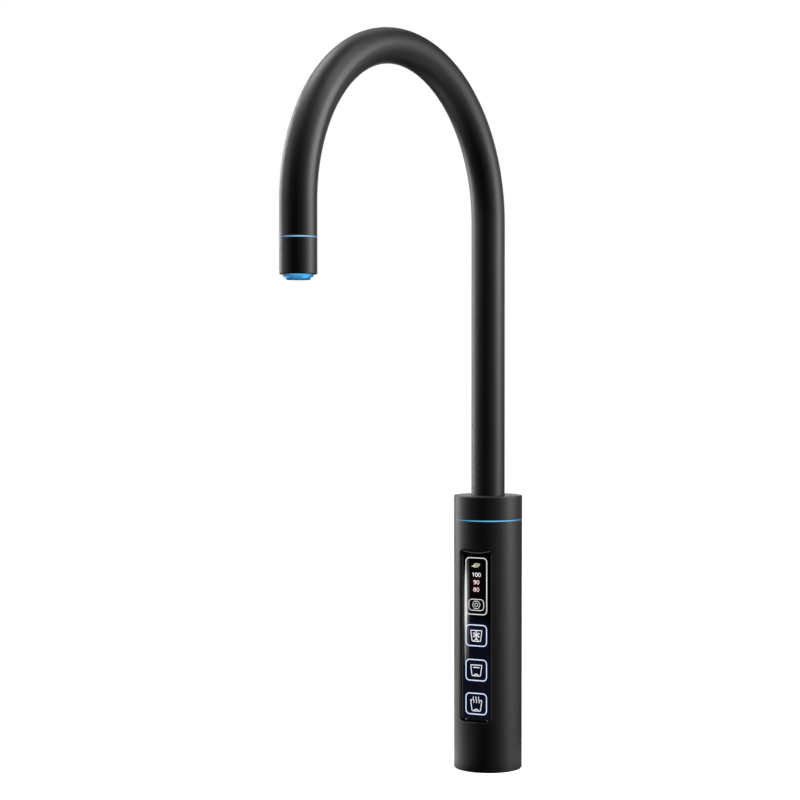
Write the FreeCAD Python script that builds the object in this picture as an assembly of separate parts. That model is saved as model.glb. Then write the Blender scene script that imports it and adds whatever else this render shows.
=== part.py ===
"""Swivelling drinks tap with a touch panel, built as separate pieces.

Millimetres. The origin is on the body's axis at the worktop, and +Z is up. At rest the spout points
along -Y. The body's pieces are built with the panel facing -Y, and are then turned by panel_turn.
"""
import math
import os

import FreeCAD
import Part

Vector = FreeCAD.Vector
UP = Vector(0, 0, 1)
CENTRE = Vector(0, 0, 0)
FULL_TURN = 360.0
FRONT_ANGLE = 270.0
BACK_ANGLE = 90.0

# Body
body_diameter = 45.0
body_height = 180.0
shell_wall = 3.0
cap_height = 15.2
cap_boss_height = 8.0
cap_boss_wall = 2.4
cap_edge_radius = 0.8
light_ring_height = 1.2
foot_chamfer = 0.5
panel_turn = 8.0

# Panel
panel_width = 22.8
panel_foot_margin = 32.6
panel_top_margin = 18.0
panel_corner = 3.0
window_edge_radius = 0.25
visor_slope = 0.6
bezel_rim = 0.9
bezel_head_rim = 3.0
bezel_sink = 0.3
bezel_flange_side = 3.0
bezel_flange_end = 1.6
bezel_flange_wall = 1.2
bezel_lip_side = 1.4
bezel_lip_end = 4.0
glass_sink = 0.2
glass_thickness = 1.6
glass_chamfer = 0.25
foil_thickness = 0.3
light_box_depth = 3.6
cell_corner = 1.2
board_thickness = 1.6
board_margin = 0.9

# Touch keys and display, measured down from the window's top
key_count = 3
first_key_drop = 56.6
last_key_margin = 12.0
key_cell_width = 13.4
key_cell_height = 11.6
display_cell_drop = 19.0
display_cell_width = 13.4
display_cell_height = 22.0
display_led_pitch = 7.0
mode_cell_drop = 36.4
mode_cell_width = 10.6
mode_cell_height = 6.6
led_pair_spread = 6.8

# Spout
tube_diameter = 22.0
tube_wall = 1.5
bend_radius = 102.0
bend_start_height = 359.3
drop_length = 20.2
nozzle_ring_height = 1.2
nozzle_length = 20.7
nozzle_edge_radius = 0.6

# Swivel
swivel_half_range = 75.0
barrel_wall = 2.3
socket_wall = 2.1
socket_flange_thickness = 3.0
shoulder_thickness = 3.5
bush_height = 4.5
bush_wall = 1.1
washer_thickness = 0.8
spigot_flange_thickness = 1.2
spigot_neck_length = 16.0
clip_thickness = 1.2
clip_width = 3.4
clip_gap_angle = 40.0
o_ring_section = 1.5
o_ring_spread = 8.0
stop_screw_diameter = 3.0
stop_screw_key = 1.5
stop_screw_key_depth = 1.6
stop_slot_depth = 1.4

# Hoses, lead and outlet
hose_count = 3
hose_diameter = 6.0
hose_bore_diameter = 4.0
hose_spacing = 0.3
hose_margin = 0.8
hose_tail_rise = 12.0
hose_tail_slope_height = 40.0
hose_tail_bend = 50.0
barb_length = 7.0
barb_bore_diameter = 2.6
union_length = 6.0
union_flange_thickness = 1.5
lead_diameter = 1.4
lead_tail_bend = 15.0
coupler_grip = 6.0
collector_height = 5.0
chamber_depth = 2.0
neck_wall = 1.5
light_cavity_depth = 5.8
web_thickness = 4.5
outlet_seal_thickness = 1.0
insert_thread_diameter = 16.7
insert_step_one_diameter = 18.2
insert_step_one_height = 1.6
insert_step_taper = 0.6
insert_step_two_diameter = 14.8
insert_step_two_height = 1.5
outlet_bore_diameter = 11.0
straightener_diameter = 13.0
straightener_height = 6.0
straightener_hole = 1.7
straightener_pitch = 2.5
straightener_rings = 2

# Base
plug_height = 14.0
stud_hole_diameter = 6.8
inlet_thread_bore = 9.0
inlet_thread_depth = 9.0
inlet_body_diameter = 11.2
inlet_hex = 12.0
inlet_hex_height = 5.0
grommet_diameter = 6.0
grommet_bore_diameter = 4.0
grommet_flange = 0.9
grommet_flange_thickness = 1.2
grommet_edge = 2.4
liner_wall = 2.0
seal_width = 1.5
seal_height = 1.6

# Small fasteners, lights and the board's connector
board_screw_diameter = 2.0
board_screw_head = 3.6
board_screw_head_height = 1.2
board_screw_spread = 13.0
board_screw_grip = 2.4
socket_screw_count = 3
socket_screw_diameter = 2.5
socket_screw_head = 4.5
socket_screw_head_height = 1.6
led_length = 1.8
led_width = 1.0
led_height = 0.8
ring_led_count = 12
nozzle_led_count = 6
led_board_thickness = 1.2
ring_board_width = 4.4
connector_width = 6.0
connector_height = 8.0
connector_depth = 3.0
connector_rise = 8.0

# Clearances
thread_gap = 0.05
seat_gap = 0.1
running_gap = 0.1
turning_gap = 0.3
free_gap = 0.5

# Body levels and radii
body_radius = body_diameter / 2
shell_bore = body_radius - shell_wall
shell_top = body_height - cap_height - light_ring_height
cap_bottom = shell_top + light_ring_height
cap_plate_bottom = body_height - shell_wall
tube_radius = tube_diameter / 2
tube_bore = tube_radius - tube_wall
tube_drop_end = bend_start_height - drop_length
spout_reach = 2 * bend_radius

# Panel levels, and distances from the axis towards the panel's front
panel_bottom = panel_foot_margin
panel_top = shell_top - panel_top_margin
panel_height = panel_top - panel_bottom
panel_middle = (panel_top + panel_bottom) / 2
window_edge = math.sqrt(body_radius ** 2 - (panel_width / 2) ** 2)
bezel_front = window_edge - bezel_sink
glass_front = bezel_front - glass_sink
glass_back = glass_front - glass_thickness
foil_back = glass_back - foil_thickness
light_box_back = foil_back - light_box_depth
board_back = light_box_back - board_thickness
bezel_width = panel_width - 2 * seat_gap
bezel_height = panel_height - 2 * seat_gap
visor_top = panel_top - seat_gap
visor_front = body_radius - window_edge_radius - seat_gap
glass_seat_top = panel_top - seat_gap - bezel_head_rim
glass_seat_bottom = panel_bottom + seat_gap + bezel_rim
glass_seat_width = bezel_width - 2 * bezel_rim
glass_seat_height = glass_seat_top - glass_seat_bottom
glass_middle = (glass_seat_top + glass_seat_bottom) / 2
glass_corner = panel_corner - bezel_rim
lip_width = glass_seat_width - 2 * bezel_lip_side
lip_height = glass_seat_height - 2 * bezel_lip_end
flange_outer = shell_bore - thread_gap
flange_inner = flange_outer - bezel_flange_wall
flange_half_width = panel_width / 2 + bezel_flange_side
board_screw_height = glass_seat_height / 2 - bezel_lip_end / 2
key_pitch = (panel_height - first_key_drop - last_key_margin) / (key_count - 1)
key_heights = [panel_top - first_key_drop - key_pitch * i for i in range(key_count)]
display_height = panel_top - display_cell_drop
mode_height = panel_top - mode_cell_drop

# Circles that the hoses and the lead run on
hose_radius = hose_diameter / 2
hose_circle_radius = (hose_diameter + hose_spacing) / (2 * math.sin(math.pi / hose_count))
barrel_bore = hose_circle_radius + hose_radius + hose_margin
lead_radius = lead_diameter / 2
lead_circle_radius = barrel_bore - lead_radius - turning_gap

# Swivel levels and radii, from the hoses outwards
barrel_radius = barrel_bore + barrel_wall
socket_bore = barrel_radius + turning_gap
socket_radius = socket_bore + socket_wall
bush_bore = barrel_radius + running_gap
bush_radius = bush_bore + bush_wall
shoulder_bottom = panel_top + bezel_flange_end + free_gap
shoulder_top = shoulder_bottom + shoulder_thickness
shoulder_bore = socket_radius + turning_gap
spigot_flange_top = cap_plate_bottom - turning_gap
spigot_flange_bottom = spigot_flange_top - spigot_flange_thickness
spigot_flange_radius = socket_radius - 2 * turning_gap
washer_bottom = spigot_flange_bottom - washer_thickness
socket_top = washer_bottom - thread_gap
swivel_middle = (shoulder_top + socket_top) / 2
clip_top = shoulder_top - turning_gap
clip_bottom = clip_top - clip_thickness
clip_groove_floor = barrel_radius - clip_thickness
clip_inner = clip_groove_floor + thread_gap
clip_outer = clip_inner + clip_width
barrel_bottom = clip_bottom - clip_thickness
union_top = barrel_bottom + union_length
union_bottom = barrel_bottom - union_flange_thickness
o_ring_inner = socket_bore - running_gap - o_ring_section
stop_slot_floor = barrel_radius - stop_slot_depth
stop_tip = stop_slot_floor + turning_gap
stop_half_angle = math.degrees(math.asin((stop_screw_diameter / 2 + turning_gap) / stop_slot_floor))

# Light ring levels and radii
ring_board_bottom = shoulder_top + socket_flange_thickness
ring_board_top = ring_board_bottom + led_board_thickness
ring_board_radius = shell_bore - free_gap
ring_board_bore = ring_board_radius - ring_board_width
ring_skirt_bottom = ring_board_top + socket_screw_head_height + free_gap
ring_skirt_radius = shell_bore - turning_gap
ring_skirt_bore = ring_skirt_radius - shell_wall
ring_led_circle = (ring_skirt_bore + ring_skirt_radius) / 2
socket_screw_circle = (ring_board_bore + ring_board_radius) / 2

# Outlet levels and radii
nozzle_top = tube_drop_end - nozzle_ring_height
nozzle_bottom = nozzle_top - nozzle_length
nozzle_ring_bore = lead_circle_radius + lead_diameter
coupler_top = tube_drop_end + coupler_grip
collector_top = coupler_top + collector_height
neck_radius = lead_circle_radius - lead_radius - turning_gap
neck_bore = neck_radius - neck_wall
web_top = nozzle_top - light_cavity_depth
web_bottom = web_top - web_thickness
nozzle_board_top = web_top + led_board_thickness
light_cavity = tube_bore + seat_gap
nozzle_led_circle = (nozzle_ring_bore + light_cavity) / 2 - free_gap
insert_thread = insert_thread_diameter / 2
insert_top = web_bottom - outlet_seal_thickness
insert_step_one_bottom = nozzle_bottom - insert_step_one_height
insert_bottom = insert_step_one_bottom - insert_step_two_height
straightener_seat = straightener_diameter / 2 + seat_gap

# Base radii
liner_radius = shell_bore - seat_gap
liner_bore = liner_radius - liner_wall
inlet_hex_corner = inlet_hex / math.sqrt(3)
inlet_circle_radius = shell_bore - inlet_hex_corner - turning_gap
inlet_top = plug_height + inlet_hex_height
barb_radius = hose_bore_diameter / 2 - thread_gap
barb_bore = barb_bore_diameter / 2
lead_hole = lead_radius + seat_gap
grommet_flange_radius = grommet_diameter / 2 + grommet_flange
grommet_circle_radius = shell_bore - grommet_edge - grommet_flange_radius
hose_angles = [BACK_ANGLE + FULL_TURN / hose_count * i for i in range(hose_count)]


def polar(radius, degrees):
    """Plan position at a radius and angle."""
    angle = math.radians(degrees)
    return radius * math.cos(angle), radius * math.sin(angle)


def cylinder(radius, bottom, top, x=0.0, y=0.0):
    """Upright cylinder."""
    return Part.makeCylinder(radius, top - bottom, Vector(x, y, bottom), UP)


def ring(outer, inner, bottom, top):
    """Upright ring about the axis."""
    return cylinder(outer, bottom, top).cut(cylinder(inner, bottom, top))


def ring_sector(outer, inner, bottom, top, middle_angle, sweep):
    """Part of an upright ring, centred on middle_angle."""
    corners = [
        Vector(inner, 0, bottom),
        Vector(outer, 0, bottom),
        Vector(outer, 0, top),
        Vector(inner, 0, top),
    ]
    face = Part.Face(Part.makePolygon(corners + corners[:1]))
    sector = face.revolve(CENTRE, UP, sweep)
    sector.rotate(CENTRE, UP, middle_angle - sweep / 2)
    return sector


def turned(profile):
    """Solid of revolution from (radius, height) corners."""
    corners = [Vector(radius, 0, height) for radius, height in profile]
    face = Part.Face(Part.makePolygon(corners + corners[:1]))
    return face.revolve(CENTRE, UP, FULL_TURN)


def drilled(shape, points, radius, bottom, top):
    """The shape with an upright hole at each plan point."""
    for x, y in points:
        shape = shape.cut(cylinder(radius, bottom, top, x, y))
    return shape


def box(low, high):
    """Block between two corners."""
    size = [b - a for a, b in zip(low, high)]
    return Part.makeBox(*size, Vector(*low))


def hex_prism(across_flats, bottom, top):
    """Upright hexagonal prism about the axis."""
    corner_radius = across_flats / math.sqrt(3)
    corners = [Vector(*polar(corner_radius, FULL_TURN / 6 * i), bottom) for i in range(6)]
    return Part.Face(Part.makePolygon(corners + corners[:1])).extrude(UP * (top - bottom))


def panel_plate(width, height, corner, front, back, middle=panel_middle, across=0.0):
    """Plate that faces -Y, with its long corners rounded. front and back are distances from the axis."""
    plate = box(
        (across - width / 2, -front, middle - height / 2),
        (across + width / 2, -back, middle + height / 2),
    )
    corners = [e for e in plate.Edges if abs(e.Vertexes[0].Y - e.Vertexes[1].Y) > (front - back) / 2]
    return plate.makeFillet(corner, corners)


def glass_plate(width, height, corner, front, back):
    """Panel plate centred on the glass."""
    return panel_plate(width, height, corner, front, back, glass_middle)


def fused(first, others):
    """One solid from pieces that meet."""
    return first.fuse(others).removeSplitter()


def round_edges(shape, radius, height):
    """Circular edges of one radius at one height."""
    return [
        e
        for e in shape.Edges
        if hasattr(e.Curve, "Radius")
        and abs(e.Curve.Radius - radius) < thread_gap
        and abs(e.CenterOfMass.z - height) < thread_gap
    ]


def window_edges(shape):
    """Edges of the window on the outside of the shell."""
    return [
        e
        for e in shape.Edges
        if abs(e.CenterOfMass.x) < panel_width / 2 + thread_gap
        and panel_bottom - thread_gap < e.CenterOfMass.z < panel_top + thread_gap
        and all(abs(math.hypot(v.X, v.Y) - body_radius) < thread_gap for v in e.Vertexes)
        and e.CenterOfMass.y < -shell_bore / 2
    ]


def swept(path, outer, inner=0.0):
    """Round rod or tube along a path."""
    first = path.Edges[0]
    start = first.valueAt(first.FirstParameter)
    along = first.tangentAt(first.FirstParameter)
    solid = path.makePipe(Part.Face(Part.Wire(Part.makeCircle(outer, start, along))))
    if inner:
        solid = solid.cut(path.makePipe(Part.Face(Part.Wire(Part.makeCircle(inner, start, along)))))
    return solid


def line(start, end):
    """Straight edge."""
    return Part.LineSegment(start, end).toShape()


def spout_path(x, y, foot, drop_end):
    """Path up the riser, round the bend and down to the outlet, beside the tube's middle line."""
    bend_start = Vector(x, y, bend_start_height)
    crown = Vector(x, -bend_radius, bend_start_height + bend_radius + y)
    bend_end = Vector(x, -spout_reach - y, bend_start_height)
    return Part.Wire([
        line(Vector(x, y, foot), bend_start),
        Part.Arc(bend_start, crown, bend_end).toShape(),
        line(bend_end, Vector(x, -spout_reach - y, drop_end)),
    ])


def rounded_path(points, bend):
    """Path of straight runs joined by arcs of one radius."""
    edges = []
    begin = points[0]
    for before, corner, after in zip(points, points[1:], points[2:]):
        back = (before - corner).normalize()
        ahead = (after - corner).normalize()
        half_turn = (math.pi - back.getAngle(ahead)) / 2
        trim = bend * math.tan(half_turn)
        arc_start = corner + back * trim
        arc_end = corner + ahead * trim
        inward = (back + ahead).normalize()
        arc_middle = corner + inward * (bend / math.cos(half_turn) - bend)
        edges.append(line(begin, arc_start))
        edges.append(Part.Arc(arc_start, arc_middle, arc_end).toShape())
        begin = arc_end
    edges.append(line(begin, points[-1]))
    return Part.Wire(edges)


def upright_path(route, degrees, bend):
    """Rounded path in the upright plane at an angle, from (radius, height) corners."""
    return rounded_path([Vector(*polar(radius, degrees), height) for radius, height in route], bend)


def lights(points, bottom):
    """Small light chips on a board, each square to its radius."""
    chips = []
    for radius, degrees in points:
        chip = box(
            (radius - led_width / 2, -led_length / 2, bottom),
            (radius + led_width / 2, led_length / 2, bottom + led_height),
        )
        chip.rotate(CENTRE, UP, degrees)
        chips.append(chip)
    return Part.makeCompound(chips)


def spaced(count, offset=0.0):
    """Equal angles round a circle."""
    return [offset + FULL_TURN / count * i for i in range(count)]


inlet_points = [polar(inlet_circle_radius, a) for a in hose_angles]
socket_screw_points = [polar(socket_screw_circle, a) for a in spaced(socket_screw_count, BACK_ANGLE)]
grommet_x, grommet_y = polar(grommet_circle_radius, FRONT_ANGLE)
board_screw_points = [
    (x, glass_middle + z)
    for x in (-board_screw_spread / 2, board_screw_spread / 2)
    for z in (-board_screw_height, board_screw_height)
]


def make_body_shell():
    """Tube of the body, with the round-edged window, the swivel's shoulder and the seal's rebate."""
    shell = turned([
        (shell_bore, 0),
        (body_radius - foot_chamfer, 0),
        (body_radius, foot_chamfer),
        (body_radius, shell_top),
        (shell_bore, shell_top),
        (shell_bore, shoulder_top),
        (shoulder_bore, shoulder_top),
        (shoulder_bore, shoulder_bottom),
        (shell_bore, shoulder_bottom),
    ])
    shell = shell.cut(panel_plate(panel_width, panel_height, panel_corner, body_diameter, board_back))
    shell = shell.makeFillet(window_edge_radius, window_edges(shell))
    shell = shell.cut(cylinder(shell_bore + seal_width + seat_gap, 0, seal_height))
    screw_hole = socket_screw_diameter / 2 + thread_gap
    return drilled(shell, socket_screw_points, screw_hole, shoulder_bottom, shoulder_top)


def make_base_plug():
    """Brass plug with the stud's thread and seats for the inlets and the grommet."""
    plug = cylinder(shell_bore - thread_gap, 0, plug_height)
    plug = plug.cut(cylinder(stud_hole_diameter / 2, 0, plug_height))
    plug = drilled(plug, inlet_points, inlet_body_diameter / 2 + thread_gap, 0, plug_height)
    grommet_point = [(grommet_x, grommet_y)]
    plug = drilled(plug, grommet_point, grommet_diameter / 2 + thread_gap, 0, plug_height)
    flange_hole = grommet_flange_radius + seat_gap
    return drilled(plug, grommet_point, flange_hole, 0, grommet_flange_thickness)


def make_deck_seal():
    """Flat rubber ring between the shell's foot and the worktop."""
    return ring(shell_bore + seal_width, shell_bore, 0, seal_height)


def make_inlet_fitting(x, y):
    """Hose inlet: a threaded port below, a hexagon, and a barb above."""
    fitting = fused(
        cylinder(inlet_body_diameter / 2, 0, plug_height),
        [
            hex_prism(inlet_hex, plug_height, inlet_top),
            cylinder(barb_radius, inlet_top, inlet_top + barb_length),
        ],
    )
    fitting = fitting.cut(cylinder(inlet_thread_bore / 2, 0, inlet_thread_depth))
    fitting = fitting.cut(cylinder(barb_bore, 0, inlet_top + barb_length))
    fitting.translate(Vector(x, y, 0))
    return fitting


def make_lead_grommet():
    """Rubber grommet with a flange on each side of the plug."""
    grommet = fused(
        cylinder(grommet_diameter / 2, 0, plug_height),
        [
            cylinder(grommet_flange_radius, 0, grommet_flange_thickness),
            cylinder(grommet_flange_radius, plug_height, plug_height + grommet_flange_thickness),
        ],
    )
    grommet = grommet.cut(cylinder(grommet_bore_diameter / 2, 0, plug_height + grommet_flange_thickness))
    grommet.translate(Vector(grommet_x, grommet_y, 0))
    return grommet


def make_insulating_liner():
    """Open liner that stands on the inlets, with a thick edge on each side of the bezel's flange."""
    gap_half = flange_half_width + seat_gap
    liner = ring(liner_radius, liner_bore, inlet_top, shoulder_bottom)
    liner = liner.cut(box((-gap_half, -body_radius, inlet_top), (gap_half, 0, shoulder_bottom)))
    edge_radius = flange_inner - seat_gap
    edge = ring(edge_radius, edge_radius - liner_wall, inlet_top, shoulder_bottom)
    edge_start = panel_width / 2 + free_gap
    edge_end = flange_half_width + liner_wall
    edges = []
    for low, high in ((-edge_end, -edge_start), (edge_start, edge_end)):
        edges.append(edge.common(box((low, -body_radius, inlet_top), (high, 0, shoulder_bottom))))
    return fused(liner, edges)


def make_tail_hose(degrees):
    """Hose from an inlet's barb up to the union in the spigot."""
    slope_start = inlet_top + hose_tail_rise
    slope_end = slope_start + hose_tail_slope_height
    route = [
        (inlet_circle_radius, inlet_top),
        (inlet_circle_radius, slope_start),
        (hose_circle_radius, slope_end),
        (hose_circle_radius, union_bottom),
    ]
    path = upright_path(route, degrees, hose_tail_bend)
    return swept(path, hose_radius, hose_bore_diameter / 2)


def make_nozzle_lead_tail():
    """Lead from the board's connector up to the union."""
    connector_top = panel_middle + connector_rise + connector_height
    connector_entry = board_back - connector_depth / 2
    third = (union_bottom - connector_top) / 3
    route = [
        (connector_entry, connector_top),
        (connector_entry, connector_top + third),
        (lead_circle_radius, union_bottom - third),
        (lead_circle_radius, union_bottom),
    ]
    return swept(upright_path(route, FRONT_ANGLE, lead_tail_bend), lead_radius)


def make_panel_bezel():
    """Moulded frame with a sloped visor, a curved flange behind the shell's wall and a lip for the glass."""
    outer_corner = panel_corner - seat_gap
    bezel = panel_plate(bezel_width, bezel_height, outer_corner, bezel_front, light_box_back)
    flange = ring(
        flange_outer,
        flange_inner,
        panel_bottom - bezel_flange_end,
        panel_top + bezel_flange_end,
    )
    flange = flange.common(box(
        (-flange_half_width, -body_radius, 0),
        (flange_half_width, 0, body_height),
    ))
    bezel = fused(bezel, [flange])
    bezel = bezel.cut(panel_plate(bezel_width, bezel_height, outer_corner, body_diameter, bezel_front))
    visor = turned([
        (flange_inner, visor_top - visor_slope * (visor_front - flange_inner)),
        (visor_front, visor_top),
        (flange_inner, visor_top),
    ])
    visor_room = panel_plate(bezel_width, bezel_height, outer_corner, body_diameter, glass_front)
    bezel = fused(bezel, [visor.common(visor_room)])
    bezel = bezel.cut(
        glass_plate(glass_seat_width, glass_seat_height, glass_corner, body_diameter, glass_back)
    )
    bezel = bezel.cut(glass_plate(lip_width, lip_height, cell_corner, body_diameter, light_box_back))
    for x, z in board_screw_points:
        bezel = bezel.cut(panel_hole(board_screw_diameter / 2 + thread_gap, x, z, board_screw_grip))
    return bezel


def panel_hole(radius, x, z, depth):
    """Pin through the board and a depth into the bezel, square to the panel."""
    start = Vector(x, -board_back, z)
    return Part.makeCylinder(radius, board_thickness + depth, start, Vector(0, -1, 0))


def make_panel_glass():
    """Flat glass with a chamfered front edge."""
    glass = glass_plate(
        glass_seat_width - 2 * seat_gap,
        glass_seat_height - 2 * seat_gap,
        glass_corner - seat_gap,
        glass_front,
        glass_back,
    )
    front_edges = [e for e in glass.Edges if all(abs(v.Y + glass_front) < thread_gap for v in e.Vertexes)]
    return glass.makeChamfer(glass_chamfer, front_edges)


def make_touch_foil():
    """Sensor foil on the back of the glass."""
    return glass_plate(
        lip_width - 2 * seat_gap, lip_height - 2 * seat_gap, cell_corner, glass_back, foil_back
    )


def make_icon_light_box():
    """Moulded box with one light cell for each lit field."""
    light_box = glass_plate(
        lip_width - 2 * seat_gap, lip_height - 2 * seat_gap, cell_corner, foil_back, light_box_back
    )
    cells = [(key_cell_width, key_cell_height, height) for height in key_heights]
    cells.append((mode_cell_width, mode_cell_height, mode_height))
    cells.append((display_cell_width, display_cell_height, display_height))
    for width, height, middle in cells:
        cell = panel_plate(width, height, cell_corner, foil_back, light_box_back, middle)
        light_box = light_box.cut(cell)
    return light_box


def make_touch_board():
    """Circuit board behind the light box, screwed to the bezel."""
    board = panel_plate(
        bezel_width - 2 * board_margin,
        bezel_height - 2 * board_margin,
        cell_corner,
        light_box_back,
        board_back,
    )
    for x, z in board_screw_points:
        board = board.cut(panel_hole(board_screw_diameter / 2 + seat_gap, x, z, 0))
    return board


def make_panel_leds():
    """Light chips on the board, inside the cells."""
    pair = (-led_pair_spread / 2, led_pair_spread / 2)
    points = [(x, height) for height in key_heights for x in pair]
    display_rows = (-display_led_pitch, 0, display_led_pitch)
    points += [(x, display_height + row) for row in display_rows for x in pair]
    points.append((0, mode_height))
    chips = []
    for x, height in points:
        chips.append(box(
            (x - led_length / 2, -light_box_back - led_height, height - led_width / 2),
            (x + led_length / 2, -light_box_back, height + led_width / 2),
        ))
    return Part.makeCompound(chips)


def make_board_connector():
    """Connector on the board's back, with a hole for the lead."""
    bottom = panel_middle + connector_rise
    return box(
        (-connector_width / 2, -board_back, bottom),
        (connector_width / 2, -board_back + connector_depth, bottom + connector_height),
    )


def make_board_screws():
    """Four screws that hold the board to the bezel."""
    screws = []
    for x, z in board_screw_points:
        shank = panel_hole(board_screw_diameter / 2, x, z, board_screw_grip - seat_gap)
        head = Part.makeCylinder(
            board_screw_head / 2, board_screw_head_height, Vector(x, -board_back, z), Vector(0, 1, 0)
        )
        screws.append(fused(shank, [head]))
    return Part.makeCompound(screws)


def make_spout_socket():
    """Flanged sleeve that the spigot turns in, with a counterbore for a bush at each end."""
    bush_seat = bush_radius + thread_gap
    flange_top = shoulder_top + socket_flange_thickness
    flange_radius = shell_bore - turning_gap
    socket = turned([
        (bush_seat, shoulder_top),
        (flange_radius, shoulder_top),
        (flange_radius, flange_top),
        (socket_radius, flange_top),
        (socket_radius, socket_top),
        (bush_seat, socket_top),
        (bush_seat, socket_top - bush_height),
        (socket_bore, socket_top - bush_height),
        (socket_bore, shoulder_top + bush_height),
        (bush_seat, shoulder_top + bush_height),
    ])
    screw_hole = socket_screw_diameter / 2 + seat_gap
    socket = drilled(socket, socket_screw_points, screw_hole, shoulder_top, flange_top)
    stop_hole = stop_screw_diameter / 2 + thread_gap
    return socket.cut(stop_pin(stop_hole, socket_bore / 2, socket_radius + shell_wall))


def stop_pin(radius, inner, outer):
    """Radial pin at the back of the swivel."""
    return Part.makeCylinder(radius, outer - inner, Vector(0, inner, swivel_middle), Vector(0, 1, 0))


def make_swivel_stop_screw():
    """Grub screw whose tip runs in the spigot's slot."""
    screw = stop_pin(stop_screw_diameter / 2, stop_tip, socket_radius)
    key = hex_prism(stop_screw_key, 0, stop_screw_key_depth)
    key.rotate(CENTRE, Vector(1, 0, 0), BACK_ANGLE)
    key.translate(Vector(0, socket_radius, swivel_middle))
    return screw.cut(key)


def make_glide_bushes():
    """Two plain bearings in the socket."""
    lower = ring(bush_radius, bush_bore, shoulder_top, shoulder_top + bush_height)
    upper = ring(bush_radius, bush_bore, socket_top - bush_height, socket_top)
    return Part.makeCompound([lower, upper])


def make_socket_screws():
    """Screws that clamp the light board and the socket to the shell's shoulder."""
    screws = []
    for x, y in socket_screw_points:
        shank = cylinder(socket_screw_diameter / 2, shoulder_bottom, ring_board_top, x, y)
        head_top = ring_board_top + socket_screw_head_height
        head = cylinder(socket_screw_head / 2, ring_board_top, head_top, x, y)
        screws.append(fused(shank, [head]))
    return Part.makeCompound(screws)


def make_body_light_ring():
    """Clear ring between shell and cap, with a skirt down to the lights."""
    return turned([
        (ring_skirt_bore, ring_skirt_bottom),
        (ring_skirt_radius, ring_skirt_bottom),
        (ring_skirt_radius, shell_top),
        (body_radius, shell_top),
        (body_radius, cap_bottom),
        (ring_skirt_bore, cap_bottom),
    ])


def make_ring_led_board():
    """Ring-shaped circuit board on the socket's flange."""
    board = ring(ring_board_radius, ring_board_bore, ring_board_bottom, ring_board_top)
    screw_hole = socket_screw_diameter / 2 + seat_gap
    return drilled(board, socket_screw_points, screw_hole, ring_board_bottom, ring_board_top)


def make_ring_leds():
    """Light chips under the ring's skirt."""
    step = FULL_TURN / ring_led_count
    return lights([(ring_led_circle, a) for a in spaced(ring_led_count, step / 2)], ring_board_top)


def make_body_cap():
    """Cap with the spout's hole and a threaded boss for the socket."""
    hole = tube_radius + turning_gap
    boss_bore = socket_radius + thread_gap
    boss_radius = boss_bore + cap_boss_wall
    boss_bottom = cap_plate_bottom - cap_boss_height
    cap = turned([
        (hole, cap_plate_bottom),
        (hole, body_height),
        (body_radius, body_height),
        (body_radius, cap_bottom),
        (shell_bore, cap_bottom),
        (shell_bore, cap_plate_bottom),
        (boss_radius, cap_plate_bottom),
        (boss_radius, boss_bottom),
        (boss_bore, boss_bottom),
        (boss_bore, cap_plate_bottom),
    ])
    return cap.makeFillet(cap_edge_radius, round_edges(cap, body_radius, body_height))


def make_spout_tube():
    """Bent tube of the spout."""
    return swept(spout_path(0, 0, spigot_flange_top, tube_drop_end), tube_radius, tube_bore)


def make_spout_spigot():
    """Turned tail of the spout, with grooves for the rings and clip and a slot for the stop."""
    neck = tube_bore - thread_gap
    neck_top = spigot_flange_top + spigot_neck_length
    spigot = turned([
        (barrel_bore, barrel_bottom),
        (barrel_radius, barrel_bottom),
        (barrel_radius, spigot_flange_bottom),
        (spigot_flange_radius, spigot_flange_bottom),
        (spigot_flange_radius, spigot_flange_top),
        (neck, spigot_flange_top),
        (neck, neck_top),
        (barrel_bore, neck_top),
    ])
    spigot = spigot.cut(
        ring(body_radius, clip_groove_floor, clip_bottom - thread_gap, clip_top + thread_gap)
    )
    groove_half = o_ring_section / 2 + turning_gap
    for height in o_ring_heights():
        groove = ring(body_radius, o_ring_inner, height - groove_half, height + groove_half)
        spigot = spigot.cut(groove)
    slot_half = stop_screw_diameter / 2 + turning_gap
    slot = ring_sector(
        body_radius,
        stop_slot_floor,
        swivel_middle - slot_half,
        swivel_middle + slot_half,
        BACK_ANGLE,
        2 * (swivel_half_range + stop_half_angle),
    )
    return spigot.cut(slot)


def o_ring_heights():
    """Heights of the two rings, either side of the stop's slot."""
    return (swivel_middle - o_ring_spread / 2, swivel_middle + o_ring_spread / 2)


def make_spigot_o_rings():
    """Two rubber rings that steady the spout and give the swivel its drag."""
    section = o_ring_section / 2
    rings = [
        Part.makeTorus(o_ring_inner + section, section, Vector(0, 0, height), UP)
        for height in o_ring_heights()
    ]
    return Part.makeCompound(rings)


def make_thrust_washer():
    """Washer that carries the spout on the socket's top."""
    return ring(spigot_flange_radius, barrel_radius + thread_gap, washer_bottom, spigot_flange_bottom)


def make_retaining_clip():
    """Open clip under the socket that keeps the spout from lifting out."""
    sweep = FULL_TURN - clip_gap_angle
    return ring_sector(clip_outer, clip_inner, clip_bottom, clip_top, FRONT_ANGLE, sweep)


def hose_block(block, bottom, top, points, lead_point, ends):
    """Block with a barb for each hose at the given ends, and a through hole for each hose and the lead."""
    barbs = []
    low, high = bottom, top
    for x, y in points:
        if "below" in ends:
            low = bottom - barb_length
            barbs.append(cylinder(barb_radius, low, bottom, x, y))
        if "above" in ends:
            high = top + barb_length
            barbs.append(cylinder(barb_radius, top, high, x, y))
    block = fused(block, barbs)
    block = drilled(block, points, barb_bore, low, high)
    return drilled(block, [lead_point], lead_hole, bottom, top)


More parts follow.
